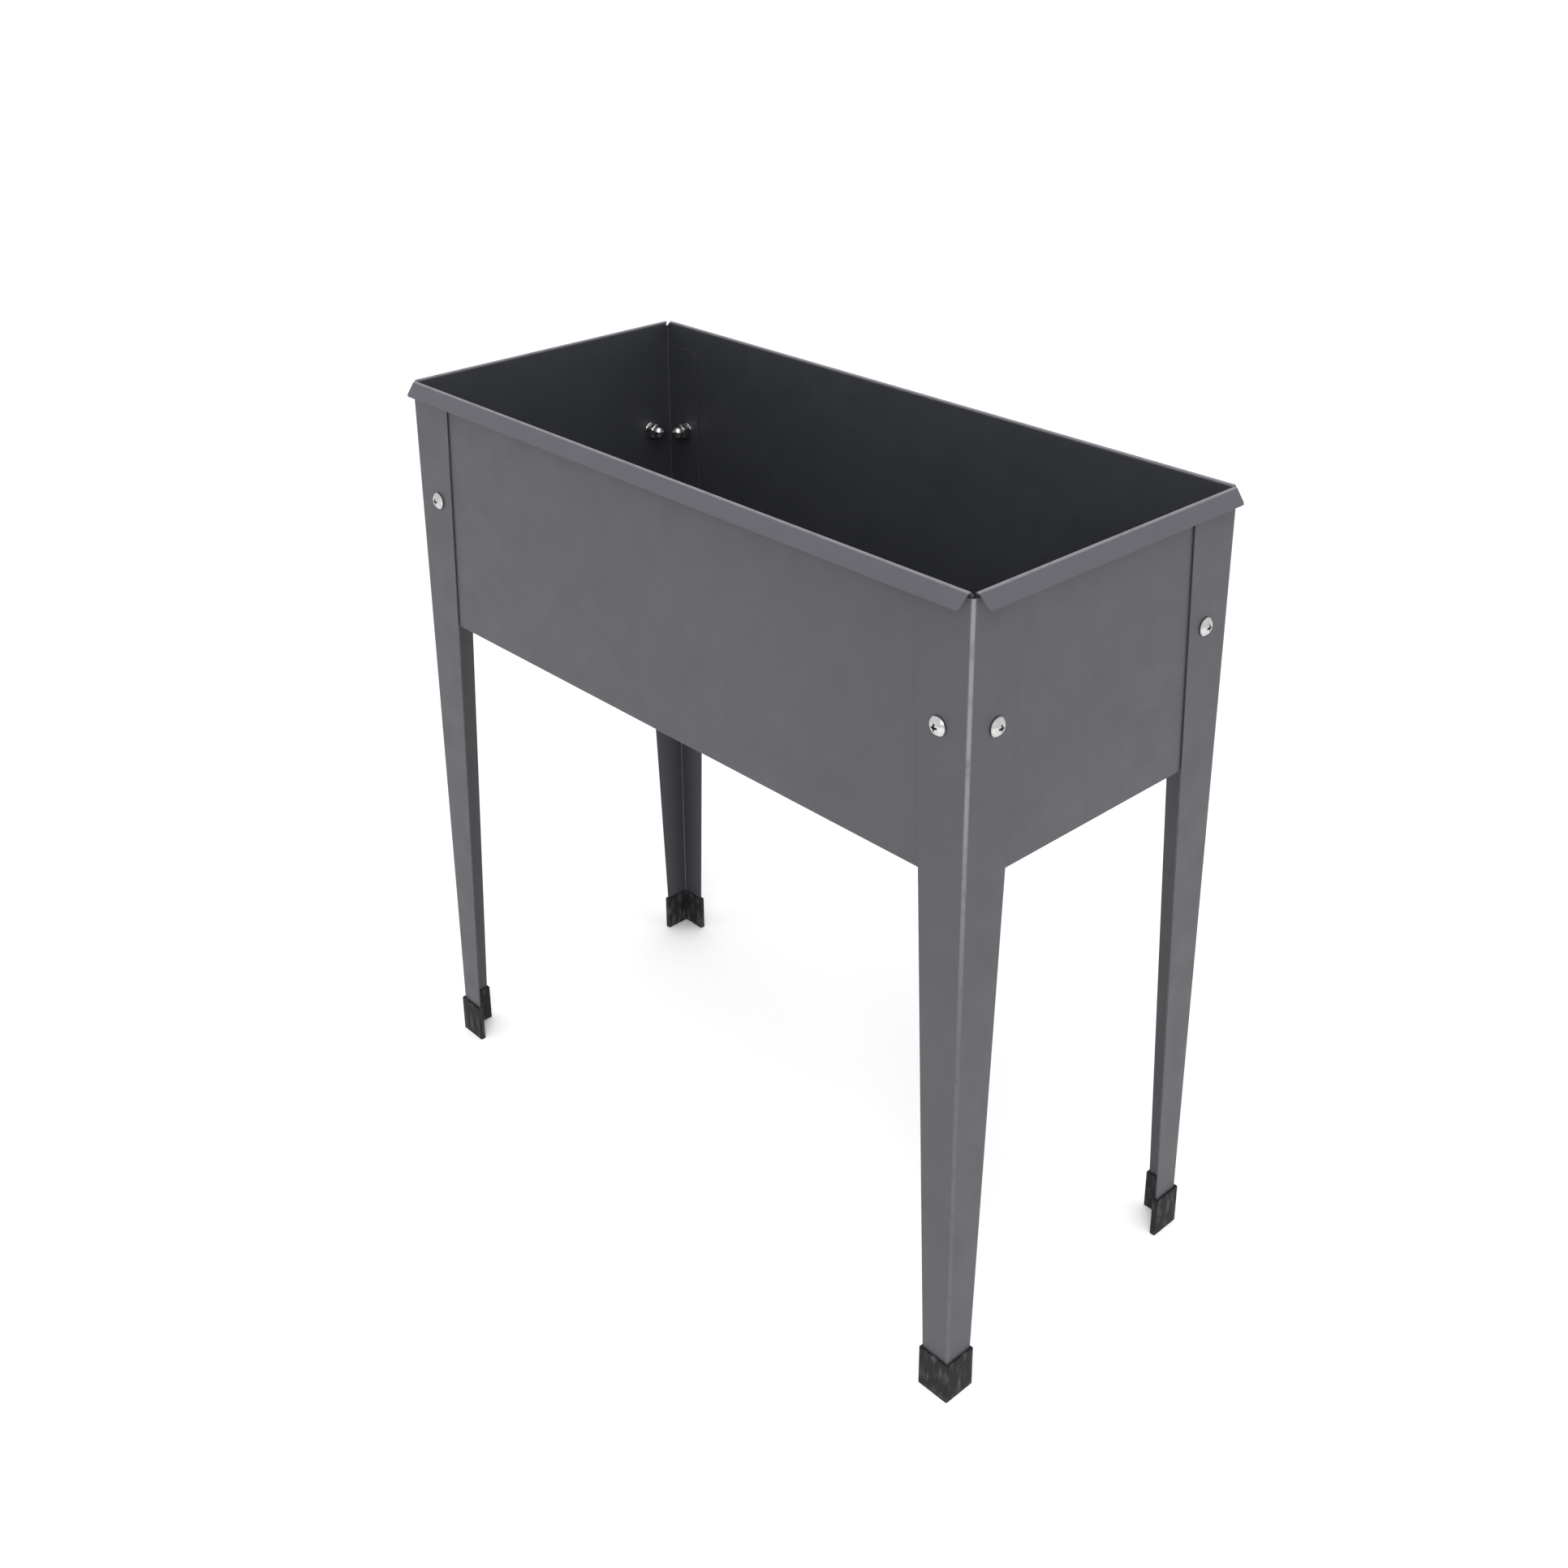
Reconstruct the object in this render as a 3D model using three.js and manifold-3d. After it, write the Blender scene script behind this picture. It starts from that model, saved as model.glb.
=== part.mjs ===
// Raised planter on legs: a folded sheet-metal box with a flared rim, hung between four tapered
// angle legs. Millimetres. +X runs along the length, +Y to the back and +Z up, and the origin is
// on the ground under the middle of the box.

import * as THREE from "three";
import { mergeVertices } from "three/addons/utils/BufferGeometryUtils.js";
import Module from "manifold-3d";

// ---- Overall sizes ----
const height = 800; // ground to the top of the rim
const bodyLength = 770; // over the outer faces of the legs, along X
const bodyWidth = 342; // over the outer faces of the legs, along Y
const boxDepth = 262; // top of the rim to the underside of the box

// ---- Sheets and clearance ----
const panelSheet = 1.2;
const legSheet = 1.5;
const gap = 0.3; // left between faces that touch

// ---- Panels: rolled lip, corner returns and bottom flange ----
const panelBend = 1.5; // inner radius of every fold in a panel
const lipLength = 15.4; // straight part of the lip, along its slope
const lipTurn = 140; // degrees that the sheet turns through at the rim
const lipCornerGap = 2.5; // from the corner of the box to the top of a lip's end
const lipEndSlant = 2; // how far the lip's end leans back on its way down
const lipEndRadius = 3;
const bottomFlange = 15; // inward reach of the bottom flange, over the outer face
const bottomFlangeGap = 1; // from the edge of a leg to the end of a bottom flange
const panelEndGap = 1; // from the fold of a leg back to the end of a long panel
const returnWidth = 50; // inward reach of an end panel's return, over its outer face
const returnTopDrop = 27; // top of the rim to the top of a return
const returnBottomRise = 4; // underside of the box to the bottom of a return
const returnCornerRadius = 8;

// ---- Legs and foot caps ----
const legTopDrop = 5; // top of the rim to the top of a leg
const legTopFlange = 61;
const legFootFlange = 29;
const legFold = 2.5; // outer radius of the fold
const capHeight = 43;
const capWall = 2;
const capFloor = 3;
const capEdgeRadius = 1.6;
const capInnerRadius = 0.8;

// ---- Base tray ----
const trayRim = 12; // height of its upturned edge
const trayEndGap = 1.8; // to the inside of the end panels
const traySideGap = 0.5; // to the inside of the returns
const trayCornerRadius = 4;
const drainDiameter = 10;
const drainColumns = 5;
const drainRows = 2;

// ---- Fasteners ----
const boltFromFold = 33; // fold of the leg to the bolt's axis
const boltDrop = 123; // top of the rim to the bolt's axis
const boltHole = 10.6;
const shankDiameter = 9.8;
const headDiameter = 18;
const headHeight = 5;
const headEdge = 0.8; // straight edge under the dome
const recessSpan = 7;
const recessSlot = 1.6;
const recessDepth = 2.6;
const washerDiameter = 20;
const washerThickness = 2;
const nutAcrossFlats = 16;
const nutHexHeight = 8;
const nutChamfer = 1;
const nutDomeDiameter = 14.4;
const nutHeight = 18;
const nutBore = 10.4;
const nutBoreDepth = 13;
const shankInNut = 12;

const roundSegments = 16;
const drainSegments = 6; // half as many as a drain hole has sides
const beyond = 60; // how far a cutter runs past what it cuts

// ---- Heights and lines that several pieces share ----
const boxBottom = height - boxDepth;
const boltHeight = height - boltDrop;
const legTop = height - legTopDrop;
const legBottom = capFloor + gap;
const panelOuterBend = panelBend + panelSheet;
const lipBendHeight = height - panelOuterBend;
const panelInset = legSheet + gap; // outer face of a leg to the outer face of a panel
const returnInset = panelInset + panelSheet + gap; // outer face of a leg to that of a return
const longPanelHalf = bodyLength / 2 - panelInset - panelEndGap;
const endReturnHalf = bodyWidth / 2 - returnInset;

/** Width of a leg's flange at height z, over the outer faces. */
function legFlangeAt(z) {
  return THREE.MathUtils.mapLinear(z, legBottom, legTop, legFootFlange, legTopFlange);
}

// ---- Solids ----
const wasm = await Module();
wasm.setup();

/** The closed geometry as a solid that can be joined and cut. */
function toSolid(geometry) {
  const bare = new THREE.BufferGeometry();
  bare.setAttribute("position", geometry.getAttribute("position").clone());
  bare.setIndex(geometry.getIndex());
  const merged = mergeVertices(bare, 1e-4);
  const index = merged.getIndex().array;
  const corners = [];
  for (let i = 0; i < index.length; i += 3) {
    const [a, b, c] = index.slice(i, i + 3);
    if (a !== b && b !== c && c !== a) corners.push(a, b, c);
  }
  return new wasm.Manifold(
    new wasm.Mesh({
      numProp: 3,
      vertProperties: merged.getAttribute("position").array,
      triVerts: new Uint32Array(corners),
    }),
  );
}

/** The solid as a geometry. */
function toGeometry(solid) {
  const { vertProperties, triVerts } = solid.getMesh();
  const geometry = new THREE.BufferGeometry();
  geometry.setAttribute("position", new THREE.BufferAttribute(vertProperties, 3));
  geometry.setIndex(new THREE.BufferAttribute(triVerts, 1));
  geometry.computeVertexNormals();
  return geometry;
}

/** A shape drawn in the XY, XZ or YZ plane, extruded along the third axis between two places. */
function prism(plane, shape, from, to, curveSegments = 3) {
  const depth = to - from;
  const geometry = new THREE.ExtrudeGeometry(shape, { depth, bevelEnabled: false, curveSegments });
  const x = new THREE.Vector3(1, 0, 0);
  const y = new THREE.Vector3(0, 1, 0);
  const z = new THREE.Vector3(0, 0, 1);
  const basis = new THREE.Matrix4();
  if (plane === "xy") basis.makeBasis(x, y, z).setPosition(0, 0, from);
  if (plane === "xz") basis.makeBasis(x, z, y.clone().negate()).setPosition(0, to, 0);
  if (plane === "yz") basis.makeBasis(y, z, x).setPosition(from, 0, 0);
  return toSolid(geometry.applyMatrix4(basis));
}

/** A box between two opposite corners. */
function block(low, high) {
  const size = high.map((value, i) => value - low[i]);
  const middle = high.map((value, i) => (value + low[i]) / 2);
  return toSolid(new THREE.BoxGeometry(...size).translate(...middle));
}

/** A solid of revolution round the Y axis, from [radius, y] points in order of rising y. */
function turned(points) {
  return toSolid(new THREE.LatheGeometry(points.map((p) => new THREE.Vector2(...p)), roundSegments));
}

/** A round bar along Y at (x, z), between two places on Y. */
function bar(diameter, x, z, from, to) {
  const radius = diameter / 2;
  return turned([[0, from], [radius, from], [radius, to], [0, to]]).translate([x, 0, z]);
}

function polygon(points) {
  return new THREE.Shape(points.map((p) => new THREE.Vector2(...p)));
}

/** Points on a dome over the XZ plane, from its rim up to its crown on the axis. */
function domePoints(radius, rise, base, direction) {
  const sphere = (radius ** 2 + rise ** 2) / (2 * rise);
  const open = rise > radius ? Math.PI - Math.asin(radius / sphere) : Math.asin(radius / sphere);
  const steps = 4;
  return Array.from({ length: steps + 1 }, (_, i) => {
    const angle = open * (1 - i / steps);
    const up = sphere * (Math.cos(angle) - Math.cos(open));
    return [sphere * Math.sin(angle), base + direction * up];
  });
}

// ---- Panels: X along the panel, its outer face on y = 0, outward towards -Y ----

/** Section through a panel: bottom flange, web and rolled lip. */
function panelSection() {
  const turn = THREE.MathUtils.degToRad(lipTurn);
  const along = new THREE.Vector2(-Math.sin(turn), Math.cos(turn)).multiplyScalar(lipLength);
  const onBend = (radius) =>
    new THREE.Vector2(radius * Math.cos(turn) - panelBend, radius * Math.sin(turn) + lipBendHeight);
  const lipUnder = onBend(panelBend).add(along);
  const lipTop = onBend(panelOuterBend).add(along);
  const lowerBend = boxBottom + panelOuterBend;
  const shape = new THREE.Shape();
  shape.moveTo(0, lowerBend);
  shape.lineTo(0, lipBendHeight);
  shape.absarc(-panelBend, lipBendHeight, panelBend, 0, turn, false);
  shape.lineTo(lipUnder.x, lipUnder.y);
  shape.lineTo(lipTop.x, lipTop.y);
  shape.absarc(-panelBend, lipBendHeight, panelOuterBend, turn, 0, true);
  shape.lineTo(panelSheet, lowerBend);
  shape.absarc(panelOuterBend, lowerBend, panelBend, Math.PI, 1.5 * Math.PI, false);
  shape.lineTo(bottomFlange, boxBottom + panelSheet);
  shape.lineTo(bottomFlange, boxBottom);
  shape.absarc(panelOuterBend, lowerBend, panelOuterBend, 1.5 * Math.PI, Math.PI, true);
  return shape;
}

/** Cutters for the +X end of a panel: the slanted lip end, the rim's corner and the flange's end. */
function panelEndCutters(webHalf, lipHalf, flangeHalf) {
  const turn = THREE.MathUtils.degToRad(lipTurn);
  const lipFoot = lipBendHeight + panelBend * Math.sin(turn) + lipLength * Math.cos(turn);
  const far = Math.max(webHalf, lipHalf) + beyond;
  const slope = lipEndSlant / (height - lipFoot);
  const lipEnd = new THREE.Shape();
  lipEnd.moveTo(far, height + 1);
  lipEnd.lineTo(lipHalf + slope, height + 1);
  lipEnd.lineTo(lipHalf - lipEndSlant + slope * lipEndRadius, lipFoot + lipEndRadius);
  lipEnd.quadraticCurveTo(
    lipHalf - lipEndSlant,
    lipFoot,
    lipHalf - lipEndSlant - lipEndRadius,
    lipFoot,
  );
  lipEnd.lineTo(lipHalf - lipEndSlant - lipEndRadius, lipFoot - 1);
  lipEnd.lineTo(far, lipFoot - 1);
  const round = panelOuterBend;
  const flangeEnd = new THREE.Shape();
  flangeEnd.moveTo(flangeHalf - round, boxBottom - 1);
  flangeEnd.lineTo(flangeHalf - round, boxBottom);
  flangeEnd.quadraticCurveTo(flangeHalf, boxBottom, flangeHalf, boxBottom + round);
  flangeEnd.lineTo(far, boxBottom + round);
  flangeEnd.lineTo(far, boxBottom - 1);
  const cutters = [
    prism("xz", lipEnd, -beyond, 0),
    prism("xz", flangeEnd, -beyond, beyond),
    block([lipHalf, -beyond, lipBendHeight], [far, beyond, height + 1]),
  ];
  if (webHalf < lipHalf) cutters.push(block([webHalf, 0, 0], [far, beyond, lipBendHeight]));
  return cutters;
}

/** A folded panel whose two ends are alike. */
function foldedPanel(webHalf, lipHalf, flangeHalf, boltAt) {
  const half = Math.max(webHalf, lipHalf);
  let panel = prism("yz", panelSection(), -half, half);
  for (const cutter of panelEndCutters(webHalf, lipHalf, flangeHalf)) {
    panel = panel.subtract(cutter).subtract(cutter.mirror([1, 0, 0]));
  }
  for (const x of [-boltAt, boltAt]) {
    panel = panel.subtract(bar(boltHole, x, boltHeight, -1, panelSheet + 1));
  }
  return panel;
}

/** The return at the +X end of an end panel: a corner fold, and a flange that runs inwards. */
function cornerReturn() {
  const bottom = boxBottom + returnBottomRise;
  const top = height - returnTopDrop;
  const inner = returnWidth - returnCornerRadius;
  const foldX = endReturnHalf - panelOuterBend;
  const fold = new THREE.Shape();
  fold.moveTo(foldX - panelSheet, 0);
  fold.lineTo(foldX, 0);
  fold.absarc(foldX, panelOuterBend, panelOuterBend, -Math.PI / 2, 0, false);
  fold.lineTo(endReturnHalf, 2 * panelOuterBend);
  fold.lineTo(endReturnHalf - panelSheet, 2 * panelOuterBend);
  fold.absarc(foldX, panelOuterBend, panelBend, 0, -Math.PI / 2, true);
  fold.lineTo(foldX - panelSheet, panelSheet);
  const flange = new THREE.Shape();
  flange.moveTo(panelOuterBend, bottom);
  flange.lineTo(inner, bottom);
  flange.absarc(inner, bottom + returnCornerRadius, returnCornerRadius, -Math.PI / 2, 0, false);
  flange.absarc(inner, top - returnCornerRadius, returnCornerRadius, 0, Math.PI / 2, false);
  flange.lineTo(panelOuterBend, top);
  const flat = prism("yz", flange, endReturnHalf - panelSheet, endReturnHalf);
  // The bolt of the long side passes through this flange too.
  const holeFrom = endReturnHalf - panelSheet - 1;
  const hole = bar(boltHole, panelInset - boltFromFold, boltHeight, holeFrom, endReturnHalf + 1);
  return prism("xy", fold, bottom, top).add(flat).subtract(hole.rotate([0, 0, -90]));
}

function longPanel() {
  const lipHalf = bodyLength / 2 - panelInset - lipCornerGap;
  const flangeHalf = bodyLength / 2 - legFlangeAt(boxBottom) - bottomFlangeGap;
  return foldedPanel(longPanelHalf, lipHalf, flangeHalf, bodyLength / 2 - boltFromFold);
}

function endPanel() {
  const webHalf = endReturnHalf - panelOuterBend;
  const lipHalf = bodyWidth / 2 - panelInset - lipCornerGap;
  const flangeHalf = bodyWidth / 2 - legFlangeAt(boxBottom) - bottomFlangeGap;
  const panel = foldedPanel(webHalf, lipHalf, flangeHalf, bodyWidth / 2 - boltFromFold);
  const corner = cornerReturn();
  return panel.add(corner).add(corner.mirror([1, 0, 0]));
}

// ---- Base tray: origin in the middle of its underside ----

function roundedRectangle(length, width, radius) {
  const x = length / 2 - radius;
  const y = width / 2 - radius;
  const shape = new THREE.Shape();
  shape.absarc(x, y, radius, 0, Math.PI / 2, false);
  shape.absarc(-x, y, radius, Math.PI / 2, Math.PI, false);
  shape.absarc(-x, -y, radius, Math.PI, 1.5 * Math.PI, false);
  shape.absarc(x, -y, radius, 1.5 * Math.PI, 2 * Math.PI, false);
  return shape;
}

function baseTray() {
  const length = bodyLength - 2 * (panelInset + panelSheet + trayEndGap);
  const width = bodyWidth - 2 * (returnInset + panelSheet + traySideGap);
  const outline = roundedRectangle(length, width, trayCornerRadius);
  for (let column = 0; column < drainColumns; column += 1) {
    for (let row = 0; row < drainRows; row += 1) {
      const x = ((column + 0.5) / drainColumns - 0.5) * length;
      const y = ((row + 0.5) / drainRows - 0.5) * width;
      const drain = new THREE.Path();
      drain.absarc(x, y, drainDiameter / 2, 0, 2 * Math.PI, true);
      outline.holes.push(drain);
    }
  }
  const inside = roundedRectangle(
    length - 2 * panelSheet,
    width - 2 * panelSheet,
    trayCornerRadius - panelSheet,
  );
  const pocket = prism("xy", inside, panelSheet, trayRim + 1, drainSegments);
  return prism("xy", outline, 0, trayRim, drainSegments).subtract(pocket);
}

// ---- Legs and foot caps: fold at the origin, one flange along -X, the other along +Y ----

/** An angle section grown evenly on every side, with an end radius on its two flanges. */
function angleOutline(flange, grow, innerRadius, endRadius) {
  const far = flange + grow;
  const outer = legFold + grow;
  const thick = legSheet + grow;
  const inner = thick + innerRadius;
  const end = endRadius;
  const half = Math.PI / 2;
  const shape = new THREE.Shape();
  shape.moveTo(end - far, -grow);
  shape.absarc(-legFold, legFold, outer, -half, 0, false);
  shape.absarc(grow - end, far - end, end, 0, half, false);
  shape.absarc(end - thick, far - end, end, half, 2 * half, false);
  shape.absarc(-inner, inner, innerRadius, 0, -half, true);
  shape.absarc(end - far, thick - end, end, half, 2 * half, false);
  shape.absarc(end - far, end - grow, end, 2 * half, 3 * half, false);
  return shape;
}

function leg() {
  const endRadius = legSheet / 8;
  const outline = angleOutline(legTopFlange, 0, legFold - legSheet, endRadius);
  const low = legBottom - 1;
  const high = legTop + 1;
  const taper = [
    [legFlangeAt(low), low],
    [legFlangeAt(high), high],
    [legTopFlange + beyond, high],
    [legTopFlange + beyond, low],
  ];
  const alongX = polygon(taper.map(([across, z]) => [-across, z]));
  let solid = prism("xy", outline, legBottom, legTop)
    .subtract(prism("xz", alongX, -1, beyond))
    .subtract(prism("yz", polygon(taper), -beyond, 1));
  const hole = bar(boltHole, -boltFromFold, boltHeight, -legSheet - 1, legSheet + 1);
  solid = solid.subtract(hole);
  return solid.subtract(hole.rotate([0, 0, -90]));
}

function footCap() {
  const flange = legFlangeAt(capHeight);
  const outside = angleOutline(flange, gap + capWall, capInnerRadius, capEdgeRadius);
  const pocketInner = Math.max(legFold - legSheet - gap, gap);
  const pocket = angleOutline(flange, gap, pocketInner, gap);
  return prism("xy", outside, 0, capHeight).subtract(
    prism("xy", pocket, capFloor, capHeight + 1),
  );
}

// ---- Fasteners: axis on Y, outward towards -Y ----

function bolt(grip) {
  const crown = domePoints(headDiameter / 2, headHeight - headEdge, -headEdge, -1).reverse();
  const shank = shankDiameter / 2;
  const length = grip + shankInNut;
  let solid = turned([...crown, [headDiameter / 2, 0], [shank, 0], [shank, length], [0, length]]);
  for (const [across, up] of [[recessSpan, recessSlot], [recessSlot, recessSpan]]) {
    const low = [-across / 2, -headHeight - 1, -up / 2];
    const high = [across / 2, recessDepth - headHeight, up / 2];
    solid = solid.subtract(block(low, high));
  }
  return solid;
}

function washer() {
  const hole = boltHole / 2;
  const rim = washerDiameter / 2;
  return turned([
    [hole, 0],
    [rim, 0],
    [rim, washerThickness],
    [hole, washerThickness],
    [hole, 0],
  ]);
}

function domeNut() {
  const corner = nutAcrossFlats / Math.sqrt(3);
  const flat = nutAcrossFlats / 2;
  const hex = toSolid(
    new THREE.CylinderGeometry(corner, corner, nutHexHeight, 6).translate(0, nutHexHeight / 2, 0),
  );
  const chamfer = turned([
    [0, 0],
    [flat, 0],
    [flat + nutChamfer * 2, nutChamfer],
    [flat + nutChamfer * 2, nutHexHeight - nutChamfer],
    [flat, nutHexHeight],
    [0, nutHexHeight],
  ]);
  const radius = nutDomeDiameter / 2;
  const shoulder = nutHeight - radius;
  const dome = turned([
    [0, nutHexHeight - 1],
    [radius, nutHexHeight - 1],
    ...domePoints(radius, radius, shoulder, 1),
  ]);
  return hex.intersect(chamfer).add(dome).subtract(bar(nutBore, 0, 0, -1, nutBoreDepth));
}

// ---- Materials ----

function coated() {
  return new THREE.MeshStandardMaterial({ color: 0x6a6a6f, roughness: 0.55, metalness: 0.3 });
}

function rubber() {
  return new THREE.MeshStandardMaterial({ color: 0x232324, roughness: 0.85, metalness: 0 });
}

function brightSteel() {
  return new THREE.MeshStandardMaterial({ color: 0xd2d2d4, roughness: 0.2, metalness: 1 });
}

function piece(name, solid, material) {
  const mesh = new THREE.Mesh(toGeometry(solid), material);
  mesh.name = name;
  return mesh;
}

// ---- Assembly ----
const planter = new THREE.Group();

const sides = [
  { name: "front", panel: "front_panel", ends: ["left", "right"] },
  { name: "right", panel: "right_end_panel", ends: ["front", "back"] },
  { name: "back", panel: "back_panel", ends: ["right", "left"] },
  { name: "left", panel: "left_end_panel", ends: ["back", "front"] },
];

sides.forEach((side, turn) => {
  const isLong = turn % 2 === 0;
  const [span, across] = isLong ? [bodyLength, bodyWidth] : [bodyWidth, bodyLength];
  const grip = isLong ? returnInset + panelSheet : panelInset + panelSheet;
  const nutSeat = grip + gap + washerThickness + gap;
  const frame = new THREE.Group();
  frame.rotation.z = (turn * Math.PI) / 2;
  const inner = new THREE.Group();
  inner.position.y = -across / 2;
  frame.add(inner);

  const panel = piece(side.panel, isLong ? longPanel() : endPanel(), coated());
  panel.position.y = panelInset;
  inner.add(panel);

  side.ends.forEach((end, i) => {
    const place = `${side.name}_${end}`;
    const fastener = new THREE.Group();
    fastener.position.set((i === 0 ? -1 : 1) * (span / 2 - boltFromFold), 0, boltHeight);
    const boltMesh = piece(`bolt_${place}`, bolt(nutSeat + gap), brightSteel());
    boltMesh.position.y = -gap;
    const washerMesh = piece(`washer_${place}`, washer(), brightSteel());
    washerMesh.position.y = grip + gap;
    const nutMesh = piece(`dome_nut_${place}`, domeNut(), brightSteel());
    nutMesh.position.y = nutSeat;
    fastener.add(boltMesh, washerMesh, nutMesh);
    inner.add(fastener);
  });
  planter.add(frame);
});

const corners = [
  { name: "front_right", x: 1, y: -1 },
  { name: "back_right", x: 1, y: 1 },
  { name: "back_left", x: -1, y: 1 },
  { name: "front_left", x: -1, y: -1 },
];

corners.forEach((corner, turn) => {
  const frame = new THREE.Group();
  frame.position.set((corner.x * bodyLength) / 2, (corner.y * bodyWidth) / 2, 0);
  frame.rotation.z = (turn * Math.PI) / 2;
  frame.add(piece(`leg_${corner.name}`, leg(), coated()));
  frame.add(piece(`foot_cap_${corner.name}`, footCap(), rubber()));
  planter.add(frame);
});

const tray = piece("base_tray", baseTray(), coated());
tray.position.z = boxBottom + panelSheet + gap;
planter.add(tray);

export default planter;
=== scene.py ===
"""Raised planter on legs: a folded sheet-metal box with a rolled rim between four angle legs.

Every visible piece is a numpy surface: a flat blank folded along a profile, an outline carried
through offsets and heights, or a turned section. Sizes are in metres, in the frame of the CAD.
"""

from __future__ import annotations

import logging
import math
from dataclasses import dataclass, field
from enum import Enum
from typing import Any

import bmesh
import bpy
import numpy as np
from mathutils import Matrix, Vector

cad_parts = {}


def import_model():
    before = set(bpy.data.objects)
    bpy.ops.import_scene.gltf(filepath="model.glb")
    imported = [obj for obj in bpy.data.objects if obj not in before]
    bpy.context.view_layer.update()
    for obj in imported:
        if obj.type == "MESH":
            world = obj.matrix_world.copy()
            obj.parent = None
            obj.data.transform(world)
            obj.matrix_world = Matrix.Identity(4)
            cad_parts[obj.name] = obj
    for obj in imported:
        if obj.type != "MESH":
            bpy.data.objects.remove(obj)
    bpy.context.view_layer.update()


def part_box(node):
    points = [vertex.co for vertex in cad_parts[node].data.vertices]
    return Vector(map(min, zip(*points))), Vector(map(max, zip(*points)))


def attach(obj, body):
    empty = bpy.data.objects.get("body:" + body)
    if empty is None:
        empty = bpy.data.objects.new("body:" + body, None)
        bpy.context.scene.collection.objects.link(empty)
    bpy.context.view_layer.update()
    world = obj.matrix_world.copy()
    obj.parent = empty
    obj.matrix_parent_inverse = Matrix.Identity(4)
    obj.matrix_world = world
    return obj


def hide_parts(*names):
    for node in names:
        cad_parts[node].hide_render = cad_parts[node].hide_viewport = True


LOG = logging.getLogger("planter")
MM = 0.001


class Side(Enum):
    """A side of the box. Its value is the number of quarter turns from the front."""

    FRONT = 0
    RIGHT = 1
    BACK = 2
    LEFT = 3

    @property
    def is_long(self) -> bool:
        """True for the front and the back."""
        return self.value % 2 == 0


class Coat(Enum):
    """Which finish a surface of sheet metal carries. The two inside finishes are painted shade: the
    same coat as outside, drawn darker where it lies in shade.
    """

    OUTSIDE = "outside"
    INSIDE = "inside"
    LEG_INSIDE = "inside of a leg"


# ---------------------------------------------------------------------------------------------
# Surfaces
# ---------------------------------------------------------------------------------------------


def quarter_turns(turns: int, move: tuple[float, float, float] = (0.0, 0.0, 0.0)) -> np.ndarray:
    """Matrix that turns about Z by quarter turns, then moves.

    Args:
        turns: Number of quarter turns, counter-clockwise from above.
        move: The move that follows, in metres.

    Returns:
        A 4 by 4 matrix.
    """
    return np.array(Matrix.Translation(move) @ Matrix.Rotation(turns * math.pi / 2, 4, "Z"))


def spaced(start: float, stop: float, count: int, hold: float = 0.0) -> np.ndarray:
    """Evenly spaced values, with an extra one just inside each end to hold a flat face flat.

    Args:
        start: First value.
        stop: Last value.
        count: Number of evenly spaced values.
        hold: Distance of the two extra values from the ends, or 0 for none.

    Returns:
        The values in order.
    """
    values = np.linspace(start, stop, count)
    if hold == 0.0:
        return values
    step = math.copysign(hold, stop - start)
    return np.concatenate([values[:1], [start + step], values[1:-1], [stop - step], values[-1:]])


def smoothstep(low: float, high: float, values: np.ndarray) -> np.ndarray:
    """Smooth step from 0 at low to 1 at high: 3 t squared less 2 t cubed."""
    t = np.clip((values - low) / (high - low), 0.0, 1.0)
    return t * t * (3.0 - 2.0 * t)


@dataclass
class Surface:
    """Patches of quads that are welded into one mesh object.

    Attributes:
        name: Name of the finished piece.
        place: Matrix that takes the patches to their place on the planter.
        patches: Grids of points, each rows by columns by 3, with True where columns close.
    """

    name: str
    place: np.ndarray = field(default_factory=lambda: np.eye(4))
    patches: list[tuple[np.ndarray, bool]] = field(default_factory=list)

    def add(self, points: np.ndarray, closed: bool = False) -> None:
        """Adds a grid of points, whose last column joins the first if closed."""
        self.patches.append((points, closed))

    def build(self, weld: float = 0.002 * MM, outward: Vector | None = None) -> bpy.types.Object:
        """Makes the mesh: quads between neighbouring points, welded, with its normals outwards.

        A closed surface's shading is split at its sharp edges. An open sheet's edges are
        softened later, when it has its thickness.

        Args:
            weld: Points closer than this become one.
            outward: For an open sheet, the way that its outer face looks, in the piece's frame
                before its place is applied. None for a closed surface.

        Returns:
            The new object, at the origin.
        """
        vertices: list[np.ndarray] = []
        faces: list[np.ndarray] = []
        start = 0
        for points, closed in self.patches:
            rows, columns = points.shape[:2]
            index = np.arange(rows * columns).reshape(rows, columns) + start
            if closed:
                index = np.concatenate([index, index[:, :1]], axis=1)
            quads = [index[:-1, :-1], index[:-1, 1:], index[1:, 1:], index[1:, :-1]]
            faces.append(np.stack(quads, axis=-1).reshape(-1, 4))
            vertices.append(points.reshape(-1, 3))
            start += rows * columns
        local = np.concatenate(vertices)
        world = local @ self.place[:3, :3].T + self.place[:3, 3]
        mesh = bpy.data.meshes.new(self.name)
        mesh.from_pydata(world.tolist(), [], np.concatenate(faces).tolist())
        work = bmesh.new()
        work.from_mesh(mesh)
        bmesh.ops.remove_doubles(work, verts=work.verts, dist=weld)
        bmesh.ops.recalc_face_normals(work, faces=work.faces)
        if outward is not None:
            facing = sum((face.normal * face.calc_area() for face in work.faces), Vector())
            if facing.dot(Matrix(self.place.tolist()).to_3x3() @ outward) < 0.0:
                bmesh.ops.reverse_faces(work, faces=work.faces)
        work.to_mesh(mesh)
        work.free()
        mesh.shade_smooth()
        if outward is None:
            mesh.set_sharp_from_angle(angle=math.radians(40.0))
        piece = bpy.data.objects.new(self.name, mesh)
        bpy.context.scene.collection.objects.link(piece)
        return piece


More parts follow.
